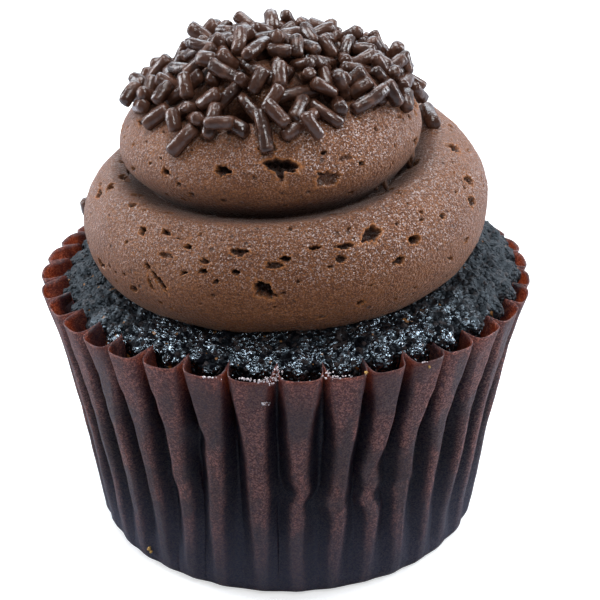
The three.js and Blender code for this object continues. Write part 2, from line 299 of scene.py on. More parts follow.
def paper_material():
    """Brown greaseproof paper: a felt of reddish fibres, darker where fat has soaked in, with painted shade
    in the valleys of its flutes and a painted bluish sheen near the base.
    """
    material, tree, shader, spot = material_named("greaseproof paper")
    fibres = packed(tree, spot, FIBRE_SIZE)
    first, second = fibres["First"], fibres["Second"]
    stretched = place(tree, "Mapping", {"Vector": spot, "Scale": (1, 1, 0.55)}).outputs[0]
    soaked = {"Vector": stretched, "Scale": 170.0, "Detail": 3.0, "Roughness": 0.55, "Distortion": 0.4}
    blotches = place(tree, "TexNoise", soaked).outputs[0]
    greasy = ranged(tree, blotches, 0.45, 0.57)
    pulp = blend(tree, ranged(tree, second, 0.55, 0.9), PULP, COOL_PULP)
    dry = blend(tree, ranged(tree, first, 0.52, 0.96), pulp, FIBRE)
    fatty_pulp = blend(tree, ranged(tree, second, 0.55, 0.9), FATTY_PULP, COOL_FATTY_PULP)
    fat = blend(tree, ranged(tree, first, 0.5, 1.0), fatty_pulp, FATTY_FIBRE)
    paper = blend(tree, times(tree, greasy, 0.95), dry, fat)
    touching_and_valley_shade = attribute(tree, "touching_and_valley_shade")
    # Painted shade in the flute valleys, where the paper also lies against the cake and is darkened by fat.
    against_cake_and_painted_shade = blend(tree, touching_and_valley_shade, paper, AGAINST_CAKE_AND_PAINTED_SHADE)
    up = place(tree, "SeparateXYZ", {0: spot}).outputs["Z"]
    # A painted bluish sheen over the lowest 20 millimetres, on greasy paper.
    colour = blend(tree, ranged(tree, up, 0.001, 0.020, 0.85, 0), against_cake_and_painted_shade, GREASE_AND_PAINTED_SHEEN_NEAR_BASE)
    waves = place(tree, "TexNoise", {"Vector": spot, "Scale": 420.0, "Detail": 3.0}).outputs[0]
    normal = leaning(tree, bumped(tree, waves, 0.35, 0.6), fibres["Lean"], 0.24)
    feed(tree, shader, {"Base Color": colour, "Normal": normal})
    feed(tree, shader, {"Roughness": ranged(tree, greasy, 0, 1, 0.58, 0.46)})
    feed(tree, shader, {"Specular IOR Level": ranged(tree, touching_and_valley_shade, 0, 1, 0.5, 0.18)})
    surface = shader.outputs[0].links[0].to_socket
    lit = blend(tree, first, LIT_PULP, LIT_FIBRE)
    through = place(tree, "BsdfTranslucent", {"Color": lit})
    facing_out = {0: place(tree, "NewGeometry").outputs["Normal"], 1: spot}
    outward = place(tree, "VectorMath", facing_out, operation="DOT_PRODUCT").outputs["Value"]
    glow = ranged(tree, outward, -0.012, 0.012, GLOW_INSIDE, GLOW_OUTSIDE)
    mixed = place(tree, "MixShader", {0: glow, 1: shader.outputs[0], 2: through.outputs[0]})
    tree.links.new(mixed.outputs[0], surface)
    return material


def case_wall():
    """The wall as one sheet: a base, a rounded heel and the flutes, with their buckles pressed in."""
    outline = [(0, 0), (12, 0), (20, 0), (24, 0), (BASE_RADIUS, 0)]
    for step in range(1, 6):
        heel = step / 6 * math.pi / 2
        outline.append((mix(BASE_RADIUS, HEEL_RADIUS, math.sin(heel)), HEEL_HEIGHT * (1 - math.cos(heel))))
    for row in range(WALL_ROWS + 1):
        z = mix(HEEL_HEIGHT, CASE_HEIGHT, row / WALL_ROWS)
        outline.append((crown_radius(z), z))
    wall = lathe(outline, FLUTES * COLUMNS_PER_FLUTE)
    touching_and_valley_shade = wall.verts.layers.float.new("touching_and_valley_shade")
    for v in wall.verts:
        x, y, z = v.co
        radius = math.hypot(x, y)
        share = wall_share(z)
        raised = smooth((radius - BASE_RADIUS) / (HEEL_RADIUS - BASE_RADIUS))
        count = flute_count(x, y)
        flute = math.floor(count)
        t = count - flute
        form = flute_form(t, share, flute)
        shift = FOLD_WANDER * noise.noise((0.9 * flute, 0.09 * z, 7.7)) * raised
        dent = 0.0
        for buckle_angle, height, depth, kick, reach_up in BUCKLES:
            away = (math.degrees(flute_angle(count)) - buckle_angle + 180) % 360 - 180
            near = math.exp(-((away / BUCKLE_WIDTH) ** 2) - ((z - height) / reach_up) ** 2)
            dent += near * depth * (2 * form - 0.9)
            shift += near * kick * (1 + 0.7 * (z - height) / reach_up)
        angle = flute_angle(count - FLUTE_PINCH * share * math.sin(TURN * t) + shift)
        r = radius - flute_depth(z, angle) * raised * (1 - form) - dent * raised
        r += raised * WAVE * noise.noise((x * 0.16, y * 0.16, z * 0.11))
        r += raised * FINE_WAVE * noise.noise((x * 0.5, y * 0.5, z * 0.34 + 9))
        rise = FOLD_RISE * unspread(angle) * share**3 * (1 - form) ** 0.9
        rise += RIM_WAVE * share**8 * noise.noise((x * 0.3, y * 0.3, 3.3))
        v.co = (r * math.cos(angle), r * math.sin(angle), z + rise)
        lifted_off = 1 - 0.7 * smooth((share - 0.8) / 0.2)
        # Where the paper lies in the valleys against the cake; the material paints shade there.
        v[touching_and_valley_shade] = raised * smooth((1 - form) * 2.3) * lifted_off
    return wall


paper_case = finished(case_wall(), "paper_case", paper_material())
wall_thickness = paper_case.modifiers.new("paper thickness", "SOLIDIFY")
wall_thickness.thickness = PAPER / 1000
wall_thickness.offset = -1
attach(paper_case, "root")
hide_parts("case")


# ---- Cake ----
# Dark chocolate cake, baked in the case: a moist, almost black crumb. Its side swells a little
# way into the flutes, and its top domes over the rim, higher and fuller on one side.

CAKE_WALL = 0.8
CAKE_EDGE = 37.8
CAKE_RIB = 1.6
DOME_RISE = 4.8
DOME_FALL = 3
DOME_SHOULDER = 0.6
CAKE_TILT = 1.7
TILT_ANGLE = 0.4
CAKE_LUMP = 0.35
CAKE_FLOOR = 0.8
CAKE_COLUMNS = 720
CRUST_LUMP = 0.22  # heights in the crust: broad lumps, a web of ridges, and a finer web
CRUST_WEB = 0.50
CRUST_FINE = 0.26
BUBBLE_DEPTH = 0.55
CRUMB_SIZE = 0.6
DARK_CRUMB = (0.0030, 0.0030, 0.0042)
PALE_CRUMB = (0.030, 0.023, 0.022)
BROWN_SUGAR = (0.26, 0.11, 0.025)
MOIST_TINT = (0.70, 0.87, 1.0, 1)
ALL_WET = -0.028  # metres along Y: the crust is wet in front of the first, and dry behind the second
ALL_DRY = -0.008


def cake_side(z, angle):
    return crown_radius(z) - flute_depth(z, angle) - CAKE_WALL


def dome_height(x, y, share):
    """The dome's height at (x, y), where share runs from 0 in the middle to 1 at the edge."""
    rise = (1 - min(1, share) ** DOME_FALL) ** DOME_SHOULDER
    tilt = CAKE_TILT * (x * math.cos(TILT_ANGLE) + y * math.sin(TILT_ANGLE)) / HEEL_RADIUS
    lumps = math.sin(0.55 * x + 1.3) * math.sin(0.61 * y - 0.4) + 0.5 * math.sin(1.1 * x - 0.9 * y)
    return CAKE_EDGE + DOME_RISE * rise + tilt * (0.35 + 0.65 * rise) + CAKE_LUMP * lumps * rise


def crumb(x, y, z):
    """Height of the baked crust: broad lumps, a web of ridges, and burst bubbles between them."""
    lump = CRUST_LUMP * noise.noise((x * 0.35, y * 0.35, z * 0.35))
    web = CRUST_WEB * (0.5 - abs(noise.noise((x * 0.62 + 5, y * 0.62, z * 0.62))) * 2.2)
    fine = CRUST_FINE * (0.5 - abs(noise.noise((x * 1.5 + 9, y * 1.5, z * 1.5))) * 2.2)
    bubble = noise.voronoi((x * 0.72, y * 0.72, z * 0.72))[0][0]
    size = 0.16 + 0.16 * noise.noise((x * 0.2, y * 0.2, z * 0.2 + 40))
    return lump + web + fine - BUBBLE_DEPTH * smooth((size - bubble) / 0.12)


def cake_material():
    """Chocolate crumb: almost black, wet and sparkling in front, and duller at the sides."""
    material, tree, shader, spot = material_named("chocolate cake crumb")
    beads = packed(tree, spot, CRUMB_SIZE)
    first = beads["First"]
    rough = place(tree, "TexNoise", {"Vector": spot, "Scale": 1900.0, "Detail": 1.0}).outputs[0]
    patches = place(tree, "TexNoise", {"Vector": spot, "Scale": 420.0, "Detail": 2.0}).outputs[0]
    back = place(tree, "SeparateXYZ", {0: spot}).outputs["Y"]
    front = ranged(tree, back, ALL_WET, ALL_DRY, 1, 0)
    some = ranged(tree, beads["Second"], 0.2, 0.4, 0.1, 1)
    wet = times(tree, times(tree, front, some), ranged(tree, patches, 0.37, 0.50, 0.12, 1))
    dark = blend(tree, ranged(tree, first, 0.7, 1.0), DARK_CRUMB, PALE_CRUMB)
    rare = place(tree, "TexNoise", {"Vector": spot, "Scale": 900.0, "Detail": 0.0}).outputs[0]
    colour = blend(tree, times(tree, ranged(tree, rare, 0.79, 0.81), 0.8), dark, BROWN_SUGAR)
    roughness = ranged(tree, wet, 0, 1, 0.55, 0.15)
    dry_shine = ranged(tree, front, 0, 1, 0.43, 0.0)
    shine = times(tree, dry_shine, ranged(tree, wet, 0, 1, 0, 1.9), "ADD")
    height = times(tree, times(tree, rough, 0.3), beads["Dome"], "ADD")
    normal = leaning(tree, bumped(tree, height, 0.24), beads["Lean"], 0.2)
    feed(tree, shader, {"Base Color": colour, "Roughness": roughness, "Normal": normal})
    feed(tree, shader, {"Specular IOR Level": shine, "Specular Tint": MOIST_TINT})
    return material


def baked_cake():
    """The cake's side, which swells into the flutes, its dome, and the crust where it shows."""
    outline = [(0, CAKE_FLOOR), (0.5, CAKE_FLOOR), (0.87, CAKE_FLOOR), (0.975, HEEL_HEIGHT + 0.4)]
    outline += [(1, z) for z in (6, 10, 15, 20, 25, 29, 32, 33.5, 34.5, 35.3, 36, 36.5, 37, 37.4)]
    outline += [(1 - 0.0092 * i**1.02, CAKE_EDGE) for i in range(38)]
    outline += [(share, CAKE_EDGE) for share in (0.6, 0.5, 0.36, 0.2, 0)]
    cake = lathe(outline, CAKE_COLUMNS)
    for v in cake.verts:
        x, y, z = v.co
        share = math.hypot(x, y)
        count = flute_count(x, y)
        angle = flute_angle(count)
        side = cake_side(z, angle)
        swell = CAKE_RIB * wall_share(z) * share**6 * (0.5 - 0.5 * math.cos(TURN * count))
        r = share * side + swell
        x, y = r * math.cos(angle), r * math.sin(angle)
        v.co = (x, y, dome_height(x, y, share) if z > CAKE_EDGE - 1e-3 else z)
    cake.normal_update()
    for v in cake.verts:
        x, y, z = v.co
        shown = smooth((z - 31) / 5) * smooth((math.hypot(x, y) - 16) / 4)
        if shown > 0:
            v.co = v.co + v.normal * (shown * crumb(x, y, z))
    return cake


cake = finished(baked_cake(), "chocolate_cake", cake_material())
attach(cake, "root")
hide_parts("cake")


# ---- Buttercream ----
# One thick rope of chocolate buttercream, piped once round on the cake, then up and in to the
# middle. Beating has left air in it: holes that burst open as it left the nozzle.

ROPE_START = -0.42  # turns, counted from the left of the cake
ROPE_END = 2.35
FIRST_REACH = 28.6
START_IN = 8
FIRST_HEIGHT = 46.6
FIRST_CLIMB = 2.2  # a turn, as are START_IN, UPPER_CLIMB and UPPER_IN
CLIMB_START = 0.22
CLIMB_TURNS = 0.8
CLIMB = 7.9
STEP_IN = 6
STEP_START = 0.42
STEP_TURNS = 0.6
UPPER_START = 1.05
UPPER_CLIMB = 3.4
UPPER_IN = 6.8
LEAN_X = -0.4
LEAN_Y = -2.2
ROPE_RADIUS = 9.6
ROPE_TAPER = 0.5
END_LENGTH = 0.16
ROPE_SIDES = 72
ROPE_RINGS = 420
STATIONS = 901
ANOTHER_COIL = 0.4  # turns along the rope from which a station counts as on another coil
TURN_LENGTH = 118  # of rope in a turn
CORE_RADIUS = 13
CORE_HALF_HEIGHT = 15
CORE_CENTRE = 55.2
CREASE_DEPTH = 4.6  # extra depth of the cleft where one coil lies on the next
CREAM_SINK = 0.25  # how far its underside sinks into the cake
CREAM_GRAIN = 0.5  # size of the cells in which the piped shapes run together
UPPER_REACH = 1.6  # how far from the cleft it is carved out of the coil above, and of the one below
LOWER_REACH = 1.1
CLEFT_LIP = 0.30
DRAG_LINES = 0.055
SOFT_LUMPS = 0.20
SWELL = 0.018  # shares by which the rope swells along it, and round it
FINE_SWELL = 0.012
SMALLEST_HOLE = 0.55
LARGEST_IN_FRONT = 1.4
LARGEST_ELSEWHERE = 2.6
HOLE_LIP = 0.06
HOLE_RAGGED = 0.48  # shares by which a hole's outline strays, and its floor rises and falls
HOLE_FINE_RAGGED = 0.36
HOLE_ROUGH_FLOOR = 0.7
FINE_EDGE = 0.2  # edges longer than this are split where a hole comes
CREAM = (0.126, 0.042, 0.015)
PALE_CREAM = (0.150, 0.054, 0.020)
COCOA = (0.056, 0.022, 0.012)
ORANGE_GRAIN = (0.285, 0.105, 0.028)
# Pale sugar grains as painted glints: drawn fully where the skin faces up, and at a quarter elsewhere.
SUGAR_WITH_PAINTED_GLINT = (0.270, 0.170, 0.140)
# A painted glow of light through the thin lips of the air holes.
PAINTED_LIP_GLOW = (0.350, 0.125, 0.030)
# Painted shade in the air holes and in the cleft between the coils.
PAINTED_HOLLOW_SHADE = (0.026, 0.011, 0.007)
# Painted shade in tiny pinholes.
PAINTED_PRICK_SHADE = (0.055, 0.025, 0.014)
SHEEN = (1.0, 0.84, 0.78, 1)
SUGAR_SIZE = 0.14

# The largest burst air holes: turns along the rope, degrees up its flank, then width, height and
# depth, and how far the right end is raised, in degrees. Smaller ones are scattered by a seed.
LARGE_HOLES = [
    (1.248, 28, 4.2, 2.0, 2.2, 0),
    (1.193, 25, 1.9, 1.3, 1.6, 0),
    (1.236, 43, 2.6, 1.2, 0.6, 8),
    (1.300, 14, 3.2, 2.0, 0.5, 0),
    (1.317, 27, 2.0, 0.8, 0.3, 8),
    (1.335, 18, 0.9, 0.6, 0.8, 0),
    (0.128, 33, 1.6, 1.5, 1.3, 0),
    (0.153, 37, 1.5, 0.8, 0.7, 0),
    (0.158, 21, 1.9, 0.9, 0.4, 0),
    (0.143, 8, 1.1, 0.8, 0.9, 20),
    (0.145, -6, 1.7, 0.7, 0.8, -60),
    (0.155, 0, 2.8, 0.9, 1.2, -40),
    (0.190, 22, 1.3, 0.8, 0.6, 0),
    (0.190, 14, 1.3, 0.6, 1.0, 0),
    (0.215, 15, 1.2, 0.7, 1.0, 0),
    (0.215, 32, 2.2, 1.0, 0.7, 0),
    (0.235, 4, 2.9, 2.2, 1.9, -25),
    (0.250, 28, 1.3, 0.8, 1.2, 0),
    (0.243, 22, 2.2, 1.0, 0.7, 0),
    (0.273, 35, 1.4, 0.5, 1.1, 0),
    (0.295, 33, 1.8, 0.8, 0.8, 0),
    (0.293, 23, 1.5, 1.0, 0.8, 0),
    (0.320, 39, 3.0, 1.9, 1.1, 8),
    (0.353, 23, 2.3, 1.2, 1.5, -5),
    (0.305, -15, 1.2, 0.9, 0.9, 0),
    (0.363, 69, 1.2, 1.3, 0.5, 0),
    (0.388, 31, 1.1, 0.7, 0.6, 0),
    (0.410, 0, 1.1, 0.8, 0.8, 0),
]
SMALL_HOLES = 190
HOLE_SEED = 417


def climbed(u):
    return smooth((u - CLIMB_START) / CLIMB_TURNS)


def stepped_in(u):
    return smooth((u - STEP_START) / STEP_TURNS)


def rope(u):
    """The rope at u turns: its centre, its direction out from the axis, and its half width."""
    full = ROPE_RADIUS - ROPE_TAPER * max(0, u)
    half = full * (0.78 + 0.22 * smooth((u - ROPE_START) / 0.4))
    upper = max(0, u - UPPER_START)
    reach = FIRST_REACH - START_IN * max(0, -u) - STEP_IN * stepped_in(u) - UPPER_IN * upper
    height = FIRST_HEIGHT + FIRST_CLIMB * u + CLIMB * climbed(u) + UPPER_CLIMB * upper
    angle = math.pi + u * TURN
    out = Vector((math.cos(angle), math.sin(angle), 0))
    centre = out * max(0.5, reach - half)
    centre += Vector((LEAN_X * stepped_in(u), LEAN_Y * stepped_in(u), height - (full - half)))
    from_end = min(u - ROPE_START, ROPE_END - u) / END_LENGTH
    return centre, out, half * math.sqrt(1 - (1 - clamp(from_end, 0.02, 1)) ** 2)


def piped_shape():
    """The rope as one long tube laid along its turns, and the cream that fills the middle."""
    tube = bmesh.new()
    bmesh.ops.create_cone(tube, cap_ends=True, segments=ROPE_SIDES, radius1=1, radius2=1, depth=1)
    upright = [e for e in tube.edges if rise_of(e) > 0.5]
    bmesh.ops.subdivide_edges(tube, edges=upright, cuts=ROPE_RINGS, use_grid_fill=True)
    for v in tube.verts:
        u = mix(ROPE_START, ROPE_END, v.co.z + 0.5)
        centre, out, half = rope(u)
        swell = 1 + SWELL * noise.noise((u * 9, 0.5, 2))
        swell += FINE_SWELL * noise.noise((v.co.x * 1.5, v.co.y * 1.5, u * 22))
        v.co = centre + out * (v.co.x * half * swell) + Vector((0, 0, v.co.y * half * swell))
    middle = bmesh.ops.create_uvsphere(tube, u_segments=48, v_segments=24, radius=1)["verts"]
    bmesh.ops.scale(tube, vec=(CORE_RADIUS, CORE_RADIUS, CORE_HALF_HEIGHT), verts=middle)
    bmesh.ops.translate(tube, vec=(0, 0, CORE_CENTRE), verts=middle)
    bmesh.ops.recalc_face_normals(tube, faces=tube.faces)
    return tube


def run_together(shape, cell):
    """Closes shapes that cross each other into one skin."""
    mesh = bpy.data.meshes.new("piped")
    shape.to_mesh(mesh)
    shape.free()
    holder = bpy.data.objects.new("piped", mesh)
    bpy.context.scene.collection.objects.link(holder)
    skin = holder.modifiers.new("skin", "REMESH")
    skin.mode = "VOXEL"
    skin.voxel_size = cell
    made = bmesh.new()
    made.from_object(holder, bpy.context.evaluated_depsgraph_get())
    bpy.data.objects.remove(holder)
    bpy.data.meshes.remove(mesh)
    return made


def on_flank(u, lift):
    """The point on the rope's skin at u turns, at an angle up from its outermost line."""
    centre, out, half = rope(u)
    return centre + out * (half * math.cos(lift)) + Vector((0, 0, half * math.sin(lift)))


def nearest_turns(points):
    """Stations along the rope, the rope at each, and for each point the nearest station, the
    nearest on another coil, and the distance from that coil."""
    stations = np.linspace(ROPE_START, ROPE_END, STATIONS)
    laid = [rope(u) for u in stations]
    centres = np.array([centre for centre, _, _ in laid])
    halves = np.array([half for _, _, half in laid])
    nearest, other, gap = [], [], []
    for start in range(0, len(points), 4000):
        away = np.linalg.norm(points[start : start + 4000, None] - centres[None], axis=2) - halves[None]
        first = away.argmin(axis=1)
        away[np.abs(stations[None] - stations[first, None]) < ANOTHER_COIL] = 99
        nearest += list(first)
        other += list(away.argmin(axis=1))
        gap += list(away.min(axis=1))
    return stations, laid, nearest, other, gap


def settle_on_cake(cream):
    """Drags fine lines into the skin, tightens the cleft between the coils, marks painted shade along
    the cleft, and flattens the underside on to the dome of the cake."""
    points = np.array([v.co for v in cream.verts])
    gap = nearest_turns(points)[4]
    at_cleft = {v for v, g in zip(cream.verts, gap) if abs(g) < UPPER_REACH}
    edges = {e for v in at_cleft for e in v.link_edges}
    bmesh.ops.subdivide_edges(cream, edges=list(edges), cuts=1, use_grid_fill=True)
    points = np.array([v.co for v in cream.verts])
    stations, laid, nearest, other, gap = nearest_turns(points)
    along = cream.verts.layers.float_vector.new("along")
    painted_shade_in_hollows = cream.verts.layers.float.new("painted_shade_in_hollows")
    cream.normal_update()
    for v, i, j, g in zip(cream.verts, nearest, other, gap):
        centre, out, half = laid[i]
        flat = v.co - centre
        round_angle = math.atan2(flat.z, flat.dot(out))
        length = stations[i] * TURN_LENGTH
        v[along] = (length / 1000, round_angle * half / 1000, 0)
        drag = noise.noise((length * 0.035, round_angle * 9, 1.5))
        drag += 0.6 * noise.noise((length * 0.06, round_angle * 21, 5.5))
        soft = noise.noise((v.co.x * 0.16, v.co.y * 0.16, v.co.z * 0.16 + 30))
        split = (flat.normalized() + (v.co - laid[j][0]).normalized()).normalized()
        g = max(g, 0)
        lip_over = CLEFT_LIP * g * math.exp(-g / 1.4) if i > j else 0
        above, below = math.exp(-((g / UPPER_REACH) ** 1.6)), math.exp(-((g / LOWER_REACH) ** 4))
        carve = CREASE_DEPTH * (above if i > j else below)
        raised = DRAG_LINES * drag + SOFT_LUMPS * soft + lip_over
        v.co = v.co + v.normal * raised - split * carve
        # Painted shade: the upper coil's underside darkens towards the cleft, and the lower coil's top
        # darkens near it and, more faintly, a little way beyond.
        under, over = math.exp(-((g / 1.9) ** 2)), math.exp(-((g / 0.9) ** 2))
        v[painted_shade_in_hollows] = under if i > j else mix(over, math.exp(-((g / 3.2) ** 2)), 0.4)
    for v in cream.verts:
        share = math.hypot(v.co.x, v.co.y) / cake_side(CAKE_EDGE, math.atan2(v.co.y, v.co.x))
        if share < 1:
            v.co.z = max(v.co.z, dome_height(v.co.x, v.co.y, share) - CREAM_SINK)


def all_holes():
    """Every air hole, as a point on the rope and its sizes: the large ones, then many small."""
    holes = [(on_flank(u, math.radians(lift)), *sizes) for u, lift, *sizes in LARGE_HOLES]
    chance = np.random.default_rng(HOLE_SEED)
    while len(holes) < len(LARGE_HOLES) + SMALL_HOLES:
        u, lift, size, depth, lean = chance.random(5)
        u = mix(0.02, 1.5, u)
        spot = on_flank(u, mix(-0.5, 1.15, lift))
        at_front = spot.y < -0.5 * abs(spot.x) - 3
        width = mix(SMALLEST_HOLE, LARGEST_IN_FRONT if at_front else LARGEST_ELSEWHERE, size**3)
        if any((spot - hole[0]).length < 0.6 * (width + hole[1]) + 0.3 for hole in holes):
            continue
        sunk = mix(0.3, 1.2, depth) * min(1, width)
        holes.append((spot, width, width * mix(0.5, 0.9, lean), sunk, mix(-30, 30, depth)))
    return holes


def searchable(shape):
    """A tree in which the vertices near a point are found, by their numbers in the shape."""
    tree = KDTree(len(shape.verts))
    for i, v in enumerate(shape.verts):
        tree.insert(v.co, i)
    tree.balance()
    shape.verts.ensure_lookup_table()
    return tree


def burst_holes(cream):
    """Presses each air hole into the skin: a thin raised lip, steep sides, and a rough floor; marks painted
    shade inside it and a painted glow of light at its lip.
    """
    tree = searchable(cream)
    placed = []
    fine = set()
    for spot, width, height, depth, lean in all_holes():
        middle = tree.find(spot)[0]
        near = tree.find_range(middle, max(0.6, width / 2))
        normal = sum((cream.verts[i].normal for _, i, _ in near), Vector()).normalized()
        around = Vector((0, 0, 1)).cross(middle)
        wide = (around - normal * around.dot(normal)).normalized()
        wide.rotate(Matrix.Rotation(math.radians(lean), 3, normal))
        high = normal.cross(wide)
        placed.append((middle, normal, wide, high, width / 2, height / 2, depth))
        for co, i, _ in tree.find_range(middle, 0.7 * max(width, height) + 0.35):
            flat = co - middle
            if abs(flat.dot(wide)) < 0.66 * width + 0.25 and abs(flat.dot(high)) < 0.66 * height + 0.25:
                fine.update(cream.verts[i].link_edges)
    long_ones = [e for e in fine if e.calc_length() > FINE_EDGE]
    bmesh.ops.subdivide_edges(cream, edges=long_ones, cuts=2, use_grid_fill=True)
    painted_shade_in_hollows = cream.verts.layers.float["painted_shade_in_hollows"]
    painted_glow_at_lip = cream.verts.layers.float.new("painted_glow_at_lip")
    tree = searchable(cream)
    moves = {}
    for n, (centre, normal, wide, high, half_width, half_height, depth) in enumerate(placed):
        for co, i, _ in tree.find_range(centre, 1.6 * max(half_width, half_height) + 0.3):
            flat = co - centre
            a, b = flat.dot(wide) / half_width, flat.dot(high) / half_height
            bearing = math.atan2(b, a)
            c, s = math.cos(bearing), math.sin(bearing)
            ragged = 1 + HOLE_RAGGED * noise.noise((c * 1.5 + n * 5.1, s * 1.5, 0.5))
            ragged += HOLE_FINE_RAGGED * noise.noise((c * 3.6 + n, s * 3.6, 8))
            rim = math.hypot(a, b) * ragged
            inside = 1 - smooth((rim - 0.74) / 0.24)
            floor = 1 + HOLE_ROUGH_FLOOR * noise.noise((co.x * 1.9, co.y * 1.9, co.z * 1.9)) + 0.3 * b
            edge = math.exp(-(((rim - 1.06) / 0.14) ** 2))
            move = normal * (HOLE_LIP * edge * min(1, depth * 1.5) - depth * inside * floor)
            moves[i] = moves.get(i, Vector()) + move
            v = cream.verts[i]
            # Painted shade inside the hole.
            v[painted_shade_in_hollows] = max(v[painted_shade_in_hollows], inside * clamp(depth * 1.3))
            # A painted glow of light through the thin lip.
            v[painted_glow_at_lip] = max(v[painted_glow_at_lip], edge * clamp(depth * 1.5, 0.25, 1))
    for i, move in moves.items():
        cream.verts[i].co = cream.verts[i].co + move


def cream_material():
    """Chocolate buttercream: satin and grainy with sugar that glitters, its grains painted paler where it
    faces up as painted glints; a painted glow of light through the thin lips of its air holes, and
    painted shade inside them, in the cleft between the coils and in tiny pinholes."""
    material, tree, shader, spot = material_named("chocolate buttercream")
    sugar = packed(tree, spot, SUGAR_SIZE)
    first = sugar["First"]
    along = attribute(tree, "along", "Vector")
    pulled = place(tree, "Mapping", {"Vector": along, "Scale": (0.16, 1, 1)}).outputs[0]
    streaks = grain(tree, pulled, 0.55)
    grains = grain(tree, spot, 0.4)
    broad = place(tree, "TexNoise", {"Vector": spot, "Scale": 150.0, "Detail": 3.0}).outputs[0]
    tiny = place(tree, "TexVoronoi", {"Vector": spot, "Scale": 620.0}).outputs[0]
    rare = place(tree, "TexNoise", {"Vector": spot, "Scale": 260.0}).outputs[0]
    pricks = times(tree, ranged(tree, tiny, 0.10, 0.24, 1, 0), ranged(tree, rare, 0.56, 0.62))
    body = blend(tree, ranged(tree, broad, 0.35, 0.65), CREAM, PALE_CREAM)
    speckled = blend(tree, ranged(tree, sugar["Second"], 0.35, 0.9, 0, 0.7), body, COCOA)
    orange = blend(tree, ranged(tree, first, 0.4, 0.75, 0, 0.6), speckled, ORANGE_GRAIN)
    facing_up_for_painted_glint = place(tree, "SeparateXYZ", {0: place(tree, "NewGeometry").outputs["Normal"]}).outputs["Z"]
    # Sugar grains painted paler where the skin faces up, as painted glints of the light from above.
    sugar_and_painted_glint = times(tree, ranged(tree, first, 0.72, 0.90), ranged(tree, facing_up_for_painted_glint, -0.1, 0.5, 0.25, 1))
    grainy = blend(tree, sugar_and_painted_glint, orange, SUGAR_WITH_PAINTED_GLINT)
    # Painted glow of light through the thin lips of the holes.
    lip_glowing = blend(tree, times(tree, attribute(tree, "painted_glow_at_lip"), 0.8), grainy, PAINTED_LIP_GLOW)
    painted_shade_in_hollows = attribute(tree, "painted_shade_in_hollows")
    # Painted shade in the holes and along the cleft between the coils.
    inside = blend(tree, times(tree, painted_shade_in_hollows, 0.9), lip_glowing, PAINTED_HOLLOW_SHADE)
    # Painted shade in the tiny pinholes, which the bump also dips.
    colour = blend(tree, times(tree, pricks, 0.7), inside, PAINTED_PRICK_SHADE)
    height = times(tree, grains, times(tree, streaks, 0.45), "ADD")
    dipped = times(tree, height, times(tree, pricks, 0.9), "SUBTRACT")
    tipped = ranged(tree, sugar_and_painted_glint, 0, 1, 0.25, 0.75)
    normal = leaning(tree, bumped(tree, dipped, 0.32), sugar["Lean"], tipped)
    feed(tree, shader, {"Base Color": colour, "Normal": normal})
    feed(tree, shader, {"Roughness": ranged(tree, sugar_and_painted_glint, 0, 1, 0.52, 0.25)})
    feed(tree, shader, {"Specular IOR Level": ranged(tree, sugar_and_painted_glint, 0, 1, 0.22, 0.95)})
    feed(tree, shader, {"Sheen Weight": 0.14, "Sheen Roughness": 0.35, "Sheen Tint": SHEEN})
    feed(tree, shader, {"Subsurface Weight": 0.08, "Subsurface Scale": 0.0006})
    feed(tree, shader, {"Subsurface Radius": (1.0, 0.45, 0.25)})
    return material


cream = run_together(piped_shape(), CREAM_GRAIN)
settle_on_cake(cream)
cream.normal_update()
burst_holes(cream)
bmesh.ops.recalc_face_normals(cream, faces=cream.faces)
buttercream = finished(cream, "piped_buttercream", cream_material())
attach(buttercream, "root")
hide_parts("frosting")


# ---- Sprinkles ----
# Short extruded rods of chocolate, glazed so that they shine. They are poured over the top, and
# come to rest on the cream and on each other, one or two deep. A few stand up out of the heap.

SPRINKLES = 900
SPRINKLE_RADIUS = 0.98
SHORTEST = 3.0
LONGEST = 7.3
SHORTENING = 0.028
FIRST_AT_LEAST = (5.2, 3.4)  # the first ones are at least as long as a draw between these
LAST_AT_LEAST = (4.3, SHORTEST)
SCATTER_RADIUS = 19.6
SCATTER_X = -1.3
SCATTER_Y = -0.4
SINK = 0.45
MOST_HEAPED = 1.7  # a rod that would lie this much higher than on bare cream rolls off
LAST_FROM = 140  # from this one on, they are short, and stay only where the cream is still bare
LAST_HEAPED = 2.4  # and they may lie this high, across a gap
STANDING_EVERY = 17  # one in so many stands up out of the heap
STEEPEST = 2.5
STRAY_TURN = -0.012  # where the one that rolled down lies on the first coil
STRAY_PITCH = 1.2
CELL = 0.35  # of the grid on which the heap's height is kept
SPAN = SCATTER_RADIUS + 8
ACROSS = math.ceil(2 * SPAN / CELL)
SEED = 20611
ROD_SEED = 88
TIP = 0.4  # share of its radius by which a rod's rounded end still bears
ROD_LENGTH = 3  # of the plain rod, before it is drawn out to its own length
ROD_BEVEL = 0.52
THINNEST = 0.90
THICKEST = 1.10
BEND = 0.5
SKEW = 0.35
DENT = 0.16
DARK_ROD = (0.029, 0.0115, 0.007)
PALE_ROD = (0.066, 0.0265, 0.0155)
BLOOM = (0.098, 0.042, 0.025)


def bare_heap():
    """The height of the cream above each cell of a square grid."""
    middles = (np.arange(ACROSS) + 0.5) * CELL - SPAN
    x, y = np.meshgrid(middles, middles)
    in_core = 1 - (x * x + y * y) / CORE_RADIUS**2
    top = np.where(in_core > 0, CORE_CENTRE + CORE_HALF_HEIGHT * np.sqrt(np.maximum(in_core, 0)), 0)
    u = ROPE_START
    while u <= ROPE_END:
        centre, _, half = rope(u)
        inside = half**2 - (x - centre.x) ** 2 - (y - centre.y) ** 2
        top = np.where(inside > 0, np.maximum(top, centre.z + np.sqrt(np.maximum(inside, 0))), top)
        u += 0.01
    return top


cream_below = bare_heap()
heap = cream_below.copy()


